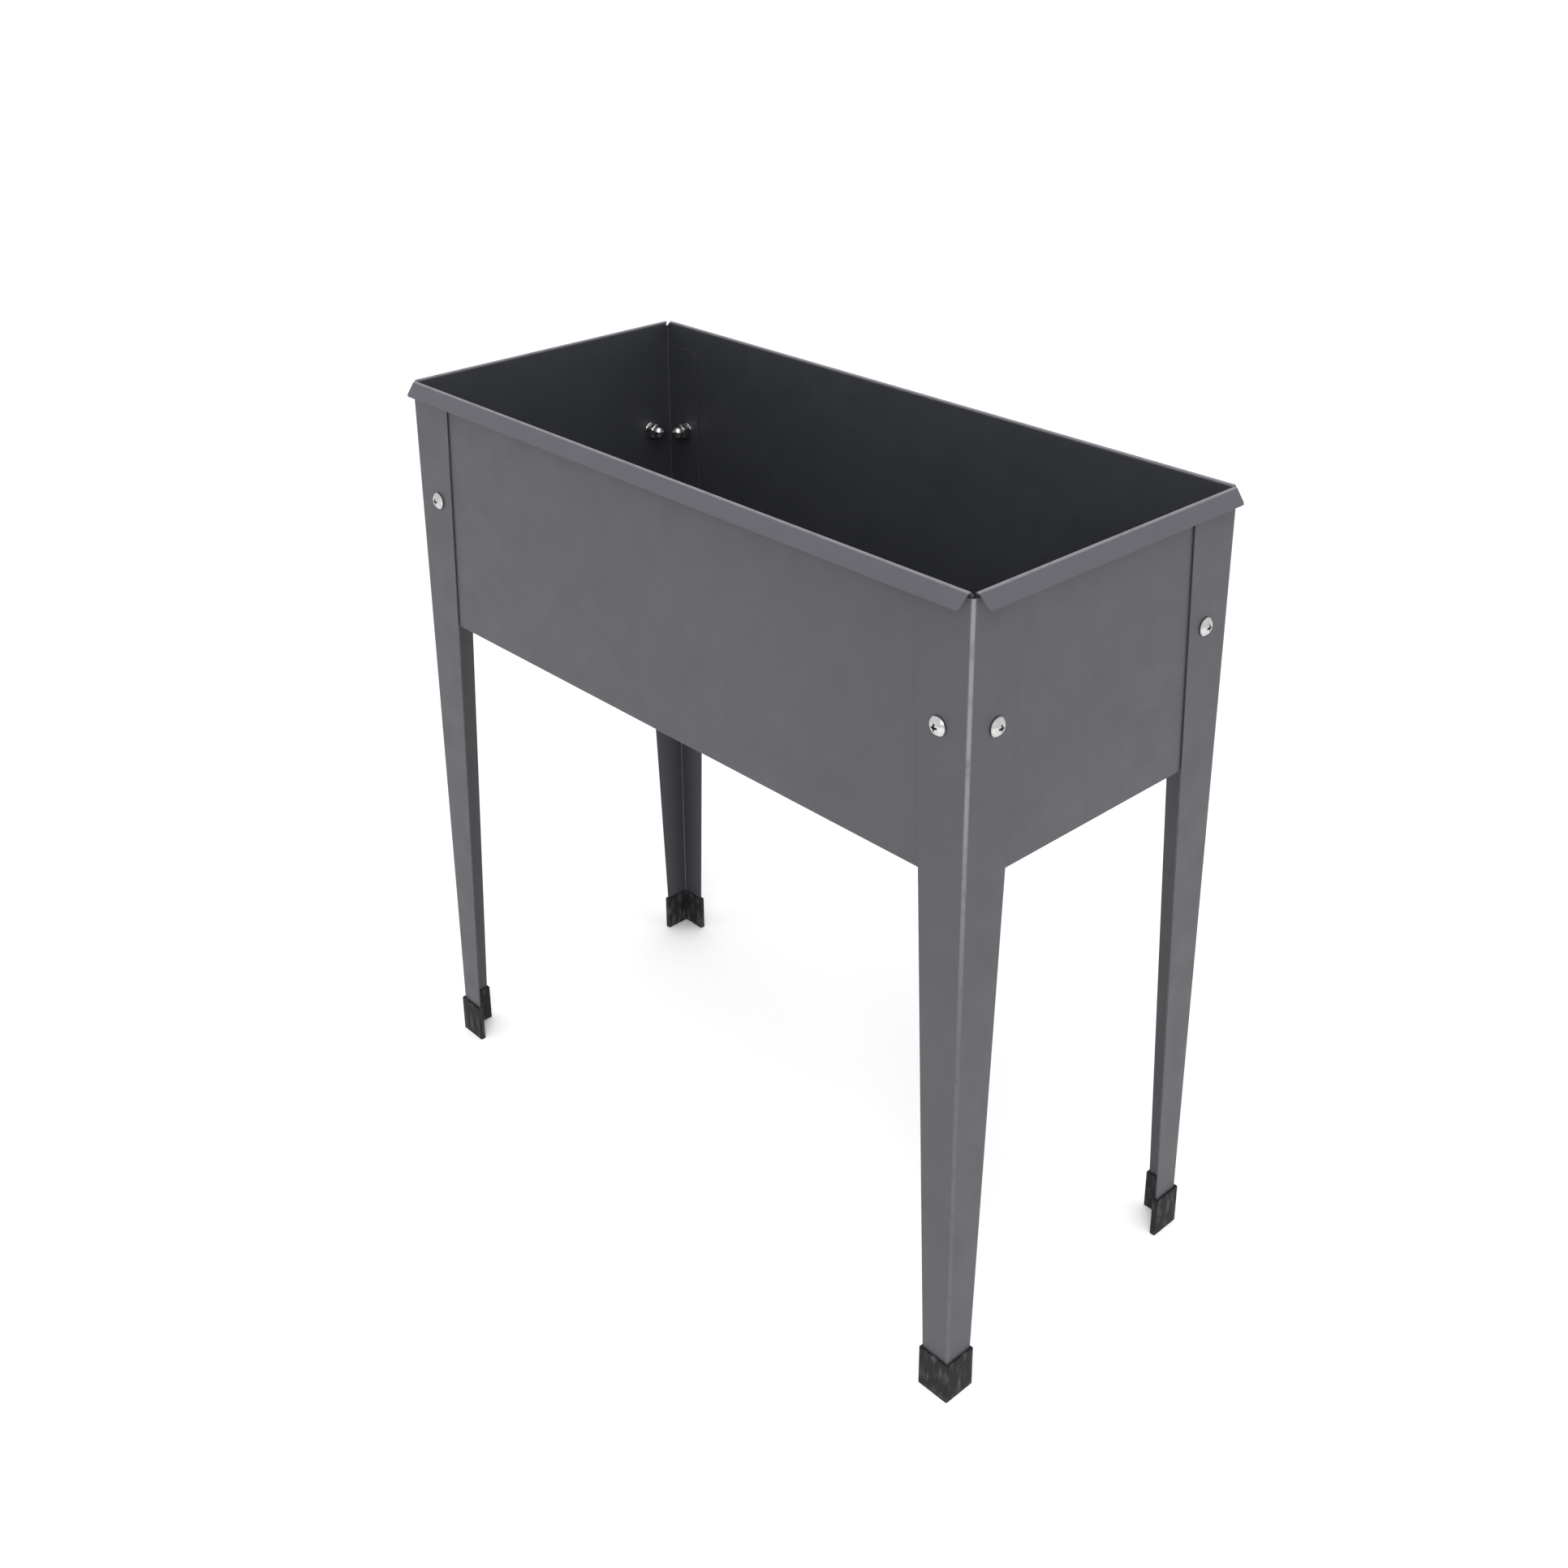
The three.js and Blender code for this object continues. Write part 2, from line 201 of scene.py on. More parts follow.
def give_thickness(piece: bpy.types.Object, thickness: float, edge: float) -> None:
    """Turns an outer face into a sheet with softened edges.

    Args:
        piece: The open surface. Its second material slot goes on the inner face.
        thickness: Thickness of the sheet, added behind the face.
        edge: Width of the bevel on its cut edges.
    """
    solid = piece.modifiers.new("sheet", "SOLIDIFY")
    solid.thickness = thickness
    solid.offset = -1.0
    solid.use_even_offset = True
    solid.material_offset = 1
    bevel = piece.modifiers.new("cut_edge", "BEVEL")
    bevel.width = edge
    bevel.segments = 2
    bevel.limit_method = "ANGLE"
    bevel.angle_limit = math.radians(50.0)
    bevel.harden_normals = True


def store_values(piece: bpy.types.Object, name: str, values: np.ndarray) -> None:
    """Stores one value at each point of a piece's mesh, under a name."""
    layer = piece.data.attributes.new(name, "FLOAT", "POINT")
    layer.data.foreach_set("value", values.astype(np.float32))


def local_points(piece: bpy.types.Object, place: np.ndarray) -> np.ndarray:
    """Points of a piece's mesh as they were before its place was applied."""
    flat = np.empty(len(piece.data.vertices) * 3, dtype=np.float32)
    piece.data.vertices.foreach_get("co", flat)
    back = np.linalg.inv(place)
    return flat.reshape(-1, 3) @ back[:3, :3].T + back[:3, 3]


@dataclass
class FoldPath:
    """The outer line of a folded sheet in a plane, drawn by going straight and turning."""

    point: np.ndarray
    heading: float
    parts: list[np.ndarray] = field(default_factory=list)

    def straight(self, along: np.ndarray) -> "FoldPath":
        """Goes straight, with a point at each distance along, and moves to the last one."""
        way = np.array([math.cos(self.heading), math.sin(self.heading)])
        self.parts.append(self.point + along[:, None] * way)
        self.point = self.parts[-1][-1]
        return self

    def bend(self, radius: float, turn: float, steps: int) -> "FoldPath":
        """Turns on a circle.

        A point on the circle is its centre plus the radius times the unit vector at the angle
        reached, and the centre lies to the side of the turn.

        Args:
            radius: Radius of the line drawn.
            turn: Angle, positive to the left.
            steps: Number of points, without the one at the start.

        Returns:
            The path itself.
        """
        side = math.copysign(math.pi / 2, turn)
        to_centre = np.array([math.cos(self.heading + side), math.sin(self.heading + side)])
        centre = self.point + radius * to_centre
        angles = self.heading - side + turn * np.arange(1, steps + 1) / steps
        self.parts.append(centre + radius * np.stack([np.cos(angles), np.sin(angles)], axis=1))
        self.point = self.parts[-1][-1]
        self.heading += turn
        return self

    def points(self) -> np.ndarray:
        """All points of the path, in order."""
        return np.concatenate(self.parts)


def angle_outline(
    flange: float, sheet: float, grow: float, corner: float, outer: float, inner: float
) -> np.ndarray:
    """Outline of an angle section, grown evenly by a distance on every side.

    The fold is at the origin, and the flanges run along -X and +Y. Each corner is an arc about
    its own centre, and the free corners have a radius that is a share of the half thickness.
    When grow is minus half the sheet and both radii are the same, the outline shrinks to its
    own middle line.

    Args:
        flange: Width of each flange, over the outer faces.
        sheet: Thickness of the section before it grows.
        grow: Distance by which it grows.
        corner: Share of the half thickness, from 0 to 1, that rounds the free corners.
        outer: Radius of the outline's outer corner at the fold.
        inner: Radius of its inner corner at the fold.

    Returns:
        Points round the outline, n by 2.
    """
    steps = 8
    half = sheet / 2 + grow
    free = corner * half
    thick = sheet + grow
    far = flange + grow
    spans = [
        (grow - outer, outer - grow, outer, -90.0, 0.0),
        (grow - free, far - free, free, 0.0, 90.0),
        (free - thick, far - free, free, 90.0, 180.0),
        (-thick - inner, thick + inner, inner, 0.0, -90.0),
        (free - far, thick - free, free, 90.0, 180.0),
        (free - far, free - grow, free, 180.0, 270.0),
    ]
    arcs = []
    for x, y, radius, start, stop in spans:
        angles = np.radians(np.linspace(start, stop, steps + 1))
        arcs.append(np.stack([x + radius * np.cos(angles), y + radius * np.sin(angles)], axis=1))
    return np.concatenate(arcs)


# ---------------------------------------------------------------------------------------------
# Finishes
# ---------------------------------------------------------------------------------------------


class Wire:
    """A shader socket, or a number, that can be written into an expression."""

    def __init__(self, finish: "NodeTree", socket: bpy.types.NodeSocket) -> None:
        """Keeps the socket and the tree that it belongs to."""
        self.finish = finish
        self.socket = socket

    def _math(self, operation: str, first: Any, second: Any) -> "Wire":
        """Adds a Math node that joins two values."""
        return self.finish.node(
            "ShaderNodeMath", {"operation": operation}, {0: first, 1: second}
        )

    def __add__(self, other: Any) -> "Wire":
        """Self plus other."""
        return self._math("ADD", self, other)

    def __sub__(self, other: Any) -> "Wire":
        """Self less other."""
        return self._math("SUBTRACT", self, other)

    def __rsub__(self, other: Any) -> "Wire":
        """Other less self."""
        return self._math("SUBTRACT", other, self)

    def __mul__(self, other: Any) -> "Wire":
        """Self times other."""
        return self._math("MULTIPLY", self, other)

    __radd__ = __add__
    __rmul__ = __mul__


class NodeTree:
    """A new material with a Principled shader, and one method that makes every other node."""

    def __init__(self, name: str) -> None:
        """Starts the material with nothing but its shader and output."""
        self.material = bpy.data.materials.new(name)
        self.material.use_nodes = True
        self.tree = self.material.node_tree
        self.tree.nodes.clear()
        output = self.tree.nodes.new("ShaderNodeOutputMaterial")
        self.shader = self.tree.nodes.new("ShaderNodeBsdfPrincipled")
        self.tree.links.new(self.shader.outputs["BSDF"], output.inputs["Surface"])
        self.place = self.node("ShaderNodeTexCoord", {}, {}, "Object")

    def node(
        self, kind: str, settings: dict[str, Any], inputs: dict[Any, Any], output: Any = 0
    ) -> Wire:
        """Makes a node.

        Args:
            kind: Type of the node.
            settings: Its own settings.
            inputs: Values or wires of its sockets, by name or number.
            output: The socket that is handed back.

        Returns:
            The chosen output.
        """
        made = self.tree.nodes.new(kind)
        for key, value in settings.items():
            setattr(made, key, value)
        for key, value in inputs.items():
            self.feed(made.inputs[key], value)
        return Wire(self, made.outputs[output])

    def feed(self, socket: bpy.types.NodeSocket, value: Any) -> None:
        """Links a wire to a socket, or sets the socket's value."""
        if isinstance(value, Wire):
            self.tree.links.new(value.socket, socket)
        else:
            socket.default_value = value

    def set(self, **sockets: Any) -> None:
        """Sets or links the shader's sockets, with _ for each space in a name."""
        for name, value in sockets.items():
            self.feed(self.shader.inputs[name.replace("_", " ")], value)

    def noise(self, scale: float, detail: float = 2.0, stretch: Vector | None = None) -> Wire:
        """Noise from 0 to 1 on the object's own coordinates.

        Args:
            scale: Waves to the metre.
            detail: Octaves above the first.
            stretch: Factor on each axis, or None for the same on all three.

        Returns:
            The noise value.
        """
        where = self.place
        if stretch is not None:
            where = self.node("ShaderNodeMapping", {}, {"Vector": where, "Scale": stretch})
        return self.node(
            "ShaderNodeTexNoise", {}, {"Vector": where, "Scale": scale, "Detail": detail}
        )

    def attribute(self, name: str) -> Wire:
        """Value that the mesh stores at each point under a name, or 0 if it stores none."""
        return self.node("ShaderNodeAttribute", {"attribute_name": name}, {}, "Fac")

    def ramp(self, value: Wire, low: float, high: float) -> Wire:
        """Straight ramp of a value: 0 at low and 1 at high, held beyond both."""
        return self.node(
            "ShaderNodeMapRange",
            {"clamp": True},
            {"Value": value, "From Min": low, "From Max": high},
        )

    def blend(self, amount: Wire, first: Any, second: Any) -> Wire:
        """Colour between two colours: the first at 0 and the second at 1."""
        return self.node(
            "ShaderNodeMix",
            {"data_type": "RGBA"},
            {"Factor": amount, 6: first, 7: second},
            2,
        )

    def bump(self, height: Wire, distance: float) -> Wire:
        """Normal of a surface raised by a height from 0 to 1 times a distance."""
        return self.node("ShaderNodeBump", {}, {"Height": height, "Distance": distance})


def scaled(colour: tuple[float, float, float], factor: float) -> tuple[float, ...]:
    """Colour times a factor, with alpha 1."""
    return (*(channel * factor for channel in colour), 1.0)


@dataclass(frozen=True)
class PowderCoat:
    """Baked powder coat: a fine orange peel, a soft sheen, a faint unevenness of tone, a painted
    highlight along folds and, if given, painted light on the lip.

    Attributes:
        name: Name of the material.
        colour: Linear colour.
        roughness: Middle of its roughness.
        rolled_painted_light: Painted light: a lighter colour where the sheet has rolled over the rim,
            because the lip faces up to the light, or None.
        fold_painted_highlight: Colour of a painted highlight on the outside of a tight fold.
    """

    name: str
    colour: tuple[float, float, float]
    roughness: float
    rolled_painted_light: tuple[float, float, float] | None = None
    fold_painted_highlight: tuple[float, float, float] = (0.17, 0.165, 0.185)

    def make(self) -> bpy.types.Material:
        """Builds the material.

        Tone is a slow noise of a few per cent and a fine fleck. Where the mesh stores "rolled",
        the colour blends to the rolled colour, which is painted light on the lip. Where it stores
        "fold", it blends, broken by a noise, to the fold colour, which is a painted highlight.
        Roughness follows a middle noise and drops on that highlight. The peel is two noises, about
        2 mm and 0.6 mm long, added in a bump.
        """
        nodes = NodeTree(self.name)
        slow = nodes.noise(5.0, 3.0)
        fleck = nodes.noise(1500.0, 1.0)
        tone = nodes.ramp(slow * 0.8 + fleck * 0.2, 0.36, 0.64)
        colour = nodes.blend(tone, scaled(self.colour, 0.95), scaled(self.colour, 1.05))
        # Painted light: the rolled lip is drawn lighter, as it faces up to the light.
        if self.rolled_painted_light is not None:
            rolled = nodes.blend(
                tone, scaled(self.rolled_painted_light, 0.96), scaled(self.rolled_painted_light, 1.04)
            )
            colour = nodes.blend(nodes.attribute("rolled"), colour, rolled)
        # Painted highlight along a fold and the rim's crown, broken by a noise.
        fold_highlight = nodes.attribute("fold") * nodes.ramp(nodes.noise(90.0, 3.0), 0.0, 0.5)
        colour = nodes.blend(fold_highlight, colour, scaled(self.fold_painted_highlight, 1.0))
        rub = nodes.noise(38.0, 4.0)
        peel = nodes.noise(480.0, 1.0) * 0.7 + nodes.noise(1600.0, 0.0) * 0.3
        nodes.set(
            Base_Color=colour,
            Roughness=nodes.ramp(rub, 0.3, 0.7) * 0.10 + (self.roughness - 0.05) - fold_highlight * 0.12,
            Normal=nodes.bump(peel, 0.05 * MM),
            Specular_IOR_Level=0.5,
        )
        return nodes.material


@dataclass(frozen=True)
class Rubber:
    """Moulded black rubber, matt, with pale scuffs, and dust near the ground.

    Attributes:
        colour: Linear colour of clean rubber.
        dust: Linear colour of the dust and the scuffs.
        dust_height: Height up to which dust settles.
    """

    colour: tuple[float, float, float] = (0.008, 0.0075, 0.008)
    dust: tuple[float, float, float] = (0.11, 0.10, 0.098)
    dust_height: float = 11 * MM

    def make(self) -> bpy.types.Material:
        """Builds the material.

        Dust is a noise times a fall-off with height. Scuffs are the crests of a noise drawn out
        upwards. The skin is a bump of fine noise.
        """
        nodes = NodeTree("moulded_rubber")
        split = nodes.node("ShaderNodeSeparateXYZ", {}, {"Vector": nodes.place}, "Z")
        patches = nodes.ramp(nodes.noise(140.0, 4.0), 0.35, 0.75)
        fall = 1.0 - nodes.ramp(split, 0.0, self.dust_height)
        streaks = nodes.noise(150.0, 6.0, Vector((1.0, 1.0, 0.35)))
        dusty = patches * fall * 0.25 + nodes.ramp(streaks, 0.5, 0.72) * 0.5
        tone = nodes.ramp(nodes.noise(60.0, 3.0), 0.3, 0.7)
        clean = nodes.blend(tone, scaled(self.colour, 0.88), scaled(self.colour, 1.12))
        skin = nodes.noise(1400.0, 2.0) * 0.6 + nodes.noise(300.0, 2.0) * 0.4
        nodes.set(
            Base_Color=nodes.blend(dusty, clean, scaled(self.dust, 1.0)),
            Roughness=nodes.ramp(skin, 0.3, 0.7) * 0.14 + 0.62,
            Normal=nodes.bump(skin, 0.06 * MM),
            Specular_IOR_Level=0.22,
        )
        return nodes.material


@dataclass(frozen=True)
class BrightSteel:
    """Polished zinc-plated steel with fine handling marks, and painted shade in a bolt head's recess
    and round its edge.

    Attributes:
        colour: Linear colour of the reflection.
        painted_bolt_shade_colour: Linear colour of the painted shade in a bolt head's recess and
            beside its edge.
        roughness: Roughness where it is cleanest.
    """

    colour: tuple[float, float, float] = (0.53, 0.52, 0.515)
    painted_bolt_shade_colour: tuple[float, float, float] = (0.10, 0.095, 0.09)
    roughness: float = 0.12

    def make(self) -> bpy.types.Material:
        """Builds the material.

        Roughness rises with a middle noise, and a faint bump of fine noise breaks the gloss.
        Painted shade, where the mesh stores it, darkens and roughens the steel, broken by a noise.
        """
        nodes = NodeTree("bright_steel")
        cloud = nodes.ramp(nodes.noise(260.0, 3.0), 0.35, 0.7)
        fine = nodes.noise(2600.0, 2.0)
        # Painted shade in a bolt head's recess and round its edge, broken by a noise.
        painted_bolt_shade = nodes.attribute("painted_bolt_shade") * nodes.ramp(nodes.noise(900.0, 2.0), 0.1, 0.45)
        clean = nodes.blend(cloud, scaled(self.colour, 1.05), scaled(self.colour, 0.86))
        nodes.set(
            Base_Color=nodes.blend(painted_bolt_shade, clean, scaled(self.painted_bolt_shade_colour, 1.0)),
            Metallic=1.0,
            Roughness=cloud * 0.16 + self.roughness + painted_bolt_shade * 0.3,
            Normal=nodes.bump(fine, 0.006 * MM),
        )
        return nodes.material


@dataclass
class Palette:
    """The planter's finishes, each made once."""

    graphite: tuple[float, float, float] = (0.0425, 0.0425, 0.0515)
    # Painted shade: the inside of the box and the tray's top, drawn darker than the same coat
    # outside.
    painted_inside_shade: tuple[float, float, float] = (0.025, 0.0265, 0.033)
    # Painted shade: the inner faces of the legs, drawn darker than their outer faces.
    painted_leg_shade: tuple[float, float, float] = (0.034, 0.034, 0.041)
    # Painted light: the lip, drawn lighter because it faces up to the light.
    rim: tuple[float, float, float] = (0.060, 0.058, 0.070)
    coats: dict[Coat, bpy.types.Material] = field(init=False)
    rubber: bpy.types.Material = field(init=False)
    steel: bpy.types.Material = field(init=False)

    def __post_init__(self) -> None:
        """Makes every material."""
        self.coats = {
            Coat.OUTSIDE: PowderCoat("graphite_coat", self.graphite, 0.46).make(),
            Coat.INSIDE: PowderCoat("painted_inside_shade_coat", self.painted_inside_shade, 0.52, self.rim).make(),
            Coat.LEG_INSIDE: PowderCoat("painted_leg_shade", self.painted_leg_shade, 0.52).make(),
        }
        self.rubber = Rubber().make()
        self.steel = BrightSteel().make()


def dress(piece: bpy.types.Object, slot: str, nodes: list[str], *finishes: Any) -> None:
    """Gives a piece its materials, ties it to the frame and reports it.

    Args:
        piece: The finished piece.
        slot: The record's material slot; not used.
        nodes: The CAD nodes that it stands for.
        finishes: Its materials, in the order of its slots.
    """
    for finish in finishes:
        piece.data.materials.append(finish)
    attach(piece, "root")
    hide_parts(*nodes)
    LOG.info("%s: %d points", piece.name, len(piece.data.vertices))


# ---------------------------------------------------------------------------------------------
# The planter
# ---------------------------------------------------------------------------------------------


@dataclass
class Body:
    """Sizes that several pieces share, worked out from the boxes of the CAD nodes."""

    panel_sheet: float = 1.2 * MM
    leg_sheet: float = 1.5 * MM
    gap: float = 0.3 * MM
    half_length: float = field(init=False)
    half_width: float = field(init=False)
    rim: float = field(init=False)
    bottom: float = field(init=False)
    leg_bottom: float = field(init=False)
    leg_top: float = field(init=False)
    leg_top_flange: float = field(init=False)
    leg_foot_flange: float = 29 * MM

    def __post_init__(self) -> None:
        """Reads the overall places from the frame."""
        leg_low, leg_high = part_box("leg_front_right")
        self.half_length = leg_high.x
        self.half_width = -leg_low.y
        self.leg_bottom, self.leg_top = leg_low.z, leg_high.z
        self.leg_top_flange = leg_high.x - leg_low.x
        panel_low, panel_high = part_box("front_panel")
        self.bottom, self.rim = panel_low.z, panel_high.z

    @property
    def panel_inset(self) -> float:
        """Outer face of a leg to the outer face of a panel."""
        return self.leg_sheet + self.gap

    @property
    def return_inset(self) -> float:
        """Outer face of a leg to the outer face of a return."""
        return self.panel_inset + self.panel_sheet + self.gap

    def half_span(self, side: Side) -> float:
        """Half the body's size along a side, over the legs."""
        return self.half_length if side.is_long else self.half_width

    def half_across(self, side: Side) -> float:
        """Distance from the middle to the outer faces of the legs on a side."""
        return self.half_width if side.is_long else self.half_length

    def leg_flange(self, z: Any) -> Any:
        """Width of a leg's flange at height z: a straight taper from top to foot."""
        share = (z - self.leg_bottom) / (self.leg_top - self.leg_bottom)
        return self.leg_foot_flange + share * (self.leg_top_flange - self.leg_foot_flange)

    def side_place(
        self, side: Side, depth: float, along: float = 0.0, up: float = 0.0
    ) -> np.ndarray:
        """Matrix for a piece on a side, whose outward way is -Y before it is placed.

        Args:
            side: The side of the box.
            depth: How far in from the outer faces of the legs.
            along: Place along the side, from its middle.
            up: Height.

        Returns:
            A 4 by 4 matrix.
        """
        local = np.array(Matrix.Translation((along, depth - self.half_across(side), up)))
        return quarter_turns(side.value) @ local

    def corner_place(self, turns: int) -> np.ndarray:
        """Matrix for a piece at a corner, counted counter-clockwise from the front right."""
        x = self.half_length if turns in (0, 1) else -self.half_length
        y = self.half_width if turns in (1, 2) else -self.half_width
        return quarter_turns(turns, (x, y, 0.0))


@dataclass
class Panels:
    """The four folded panels, each one flat blank bent along a profile."""

    body: Body
    bend: float = 1.5 * MM
    lip_length: float = 15.4 * MM
    lip_turn: float = math.radians(140.0)
    lip_corner_gap: float = 2.5 * MM
    lip_slant: float = 2 * MM
    lip_round: float = 3 * MM
    flange_reach: float = 15 * MM
    flange_gap: float = 1 * MM
    end_gap: float = 1 * MM
    return_reach: float = 50 * MM
    return_top_drop: float = 27 * MM
    return_rise: float = 4 * MM
    return_round: float = 8 * MM
    cut_edge: float = 0.35 * MM
    rim_painted_highlight: float = 0.8
    columns: int = 29

    @property
    def outer_bend(self) -> float:
        """Outer radius of a fold."""
        return self.bend + self.body.panel_sheet

    def _web_heights(self) -> np.ndarray:
        """Heights of the rows of a web, which the corner returns share."""
        low = self.body.bottom + self.outer_bend
        high = self.body.rim - self.outer_bend
        start = self.body.bottom + self.return_rise
        stop = self.body.rim - self.return_top_drop
        returns = spaced(start, stop, 13, self.return_round / 8)
        step = 0.05 * MM
        above = [0.5 * (stop + high), high - 4 * step, high]
        return np.concatenate([[low, low + step], returns, above])

    def _profile(self) -> tuple[np.ndarray, np.ndarray]:
        """Outer line of the section, and the part of the blank that each point is on.

        The line runs along the bottom flange, round its fold, up the web, over the rim and down
        the lip. Near the lip's end its rows close up as the square of their number, because the
        blank's corner is round there.

        Returns:
            Points as (y, z), and part numbers: 0 flange, 1 lower fold, 2 web, 3 rim, 4 lip.
        """
        reach = self.flange_reach - self.outer_bend
        path = FoldPath(np.array([self.flange_reach, self.body.bottom]), math.pi)
        path.straight(spaced(0.0, reach, 3, 0.3 * MM))
        path.bend(self.outer_bend, -math.pi / 2, 8)
        heights = self._web_heights()
        path.straight(heights[1:] - heights[0])
        path.bend(self.bend, self.lip_turn, 14)
        tail = self.lip_round / math.sin(self.lip_turn - math.pi / 2)
        straight = spaced(0.0, self.lip_length - tail, 5, 0.3 * MM)[1:]
        share = np.linspace(1.0, 0.0, 9)[1:]
        path.straight(np.concatenate([straight, self.lip_length - tail * share**2]))
        parts = np.repeat(np.arange(len(path.parts)), [len(part) for part in path.parts])
        return path.points(), parts

    def _half_lengths(
        self, points: np.ndarray, parts: np.ndarray, flange: float, web: float, lip: float
    ) -> np.ndarray:
        """Half the blank's length at each point of the profile.

        The flange's end is round where it meets the fold. The lip's end leans back in
        proportion to the drop below the rim, and its lower corner is a quadratic curve through
        the same two tangents as the CAD's.

        Args:
            points: The profile as (y, z).
            parts: Part number of each point.
            flange: Half length of the bottom flange.
            web: Half length of the web.
            lip: Half length of the lip at the rim.

        Returns:
            One half length for each point.
        """
        z = points[:, 1]
        rounding = self.outer_bend
        climb = np.clip((z - self.body.bottom) / rounding, 0.0, 1.0)
        half = np.where(parts <= 1, flange - rounding * (1.0 - np.sqrt(climb * (2.0 - climb))), web)
        foot = z[-1]
        slope = self.lip_slant / (self.body.rim - foot)
        slanted = lip - slope * (self.body.rim - z)
        t = 1.0 - np.sqrt(np.clip((z - foot) / self.lip_round, 0.0, 1.0))
        corner = lip - self.lip_slant
        high = corner + slope * self.lip_round
        low = corner - self.lip_round
        rounded = (1 - t) ** 2 * high + 2 * t * (1 - t) * corner + t**2 * low
        lip_half = np.where(z < foot + self.lip_round, rounded, slanted)
        return np.where(parts >= 3, lip_half, half)

    def _return_patch(self, web: float, sign: float) -> np.ndarray:
        """Corner fold and return flange at one end of an end panel.

        The line runs round the fold and along the flange, and carries the web's heights, drawn
        in towards their middle near the end by the circle that rounds the flange's corners.

        Args:
            web: Half length of the web, where the fold starts.
            sign: 1 for the +X end, and -1 for the -X end.

        Returns:
            A grid of points.
        """
        reach = self.return_reach - self.outer_bend
        path = FoldPath(np.array([web, 0.0]), 0.0)
        path.straight(np.zeros(1))
        path.bend(self.outer_bend, math.pi / 2, 8)
        flat = spaced(0.0, reach - self.return_round, 4, 0.3 * MM)[1:]
        share = np.sin(np.linspace(0.0, math.pi / 2, 9)[1:])
        path.straight(np.concatenate([flat, reach - self.return_round * (1.0 - share)]))
        line = path.points()
        past = np.clip(line[:, 1] - (self.return_reach - self.return_round), 0.0, None)
        inset = self.return_round - np.sqrt(self.return_round**2 - past**2)
        heights = self._web_heights()[2:-3]
        middle = 0.5 * (heights[0] + heights[-1])
        half = 0.5 * (heights[-1] - heights[0])
        z = middle + (heights[None, :] - middle) * (1.0 - inset[:, None] / half)
        x = np.broadcast_to(sign * line[:, :1], z.shape)
        y = np.broadcast_to(line[:, 1:], z.shape)
        return np.stack([x, y, z], axis=-1)

    def _mark_rim(self, piece: bpy.types.Object, place: np.ndarray) -> None:
        """Stores how far each point has rolled over the rim, and a painted highlight at the crown.

        "rolled" follows the angle about the centre of the rim's bend, from 0 inside to 1 on the
        lip, and places the lip's painted light. "fold" follows the height above that centre: a
        painted highlight, strongest along the bend's top.
        """
        local = local_points(piece, place)
        up = local[:, 2] - (self.body.rim - self.outer_bend)
        angle = np.arctan2(up, local[:, 1] + self.bend)
        rolled = smoothstep(math.radians(8.0), math.radians(30.0), angle)
        rolled = np.where(local[:, 1] < -0.1 * self.bend, np.maximum(rolled, up > -1.0), 0.0)
        store_values(piece, "rolled", rolled)
        # Painted highlight along the top of the rim's bend.
        store_values(piece, "fold", self.rim_painted_highlight * smoothstep(0.5 * self.bend, 0.85 * self.bend, up))

    def build(self, side: Side, node: str, palette: Palette) -> None:
        """Builds the panel of one side.

        Args:
            side: The side of the box.
            node: The CAD node that it stands for.
            palette: The planter's finishes.
        """
        body = self.body
        span = body.half_span(side)
        flange = span - body.leg_flange(body.bottom) - self.flange_gap
        lip = span - body.panel_inset - self.lip_corner_gap
        web = span - body.panel_inset - self.end_gap
        if not side.is_long:
            web = span - body.return_inset - self.outer_bend
        points, parts = self._profile()
        half = self._half_lengths(points, parts, flange, web, lip)
        across = np.linspace(-1.0, 1.0, self.columns)
        x = half[:, None] * across[None, :]
        y = np.broadcast_to(points[:, :1], x.shape)
        z = np.broadcast_to(points[:, 1:], x.shape)
        place = body.side_place(side, body.panel_inset)
        surface = Surface(f"{node}_sheet", place)
        surface.add(np.stack([x, y, z], axis=-1))
        if not side.is_long:
            surface.add(self._return_patch(web, 1.0))
            surface.add(self._return_patch(web, -1.0))
        piece = surface.build(outward=Vector((0.0, -1.0, 0.0)))
        self._mark_rim(piece, place)
        give_thickness(piece, body.panel_sheet, self.cut_edge)
        # The inner face takes the inside coat: painted shade, and painted light where it rolls onto
        # the lip.
        coats = palette.coats
        dress(piece, "graphite_coat", [node], coats[Coat.OUTSIDE], coats[Coat.INSIDE])


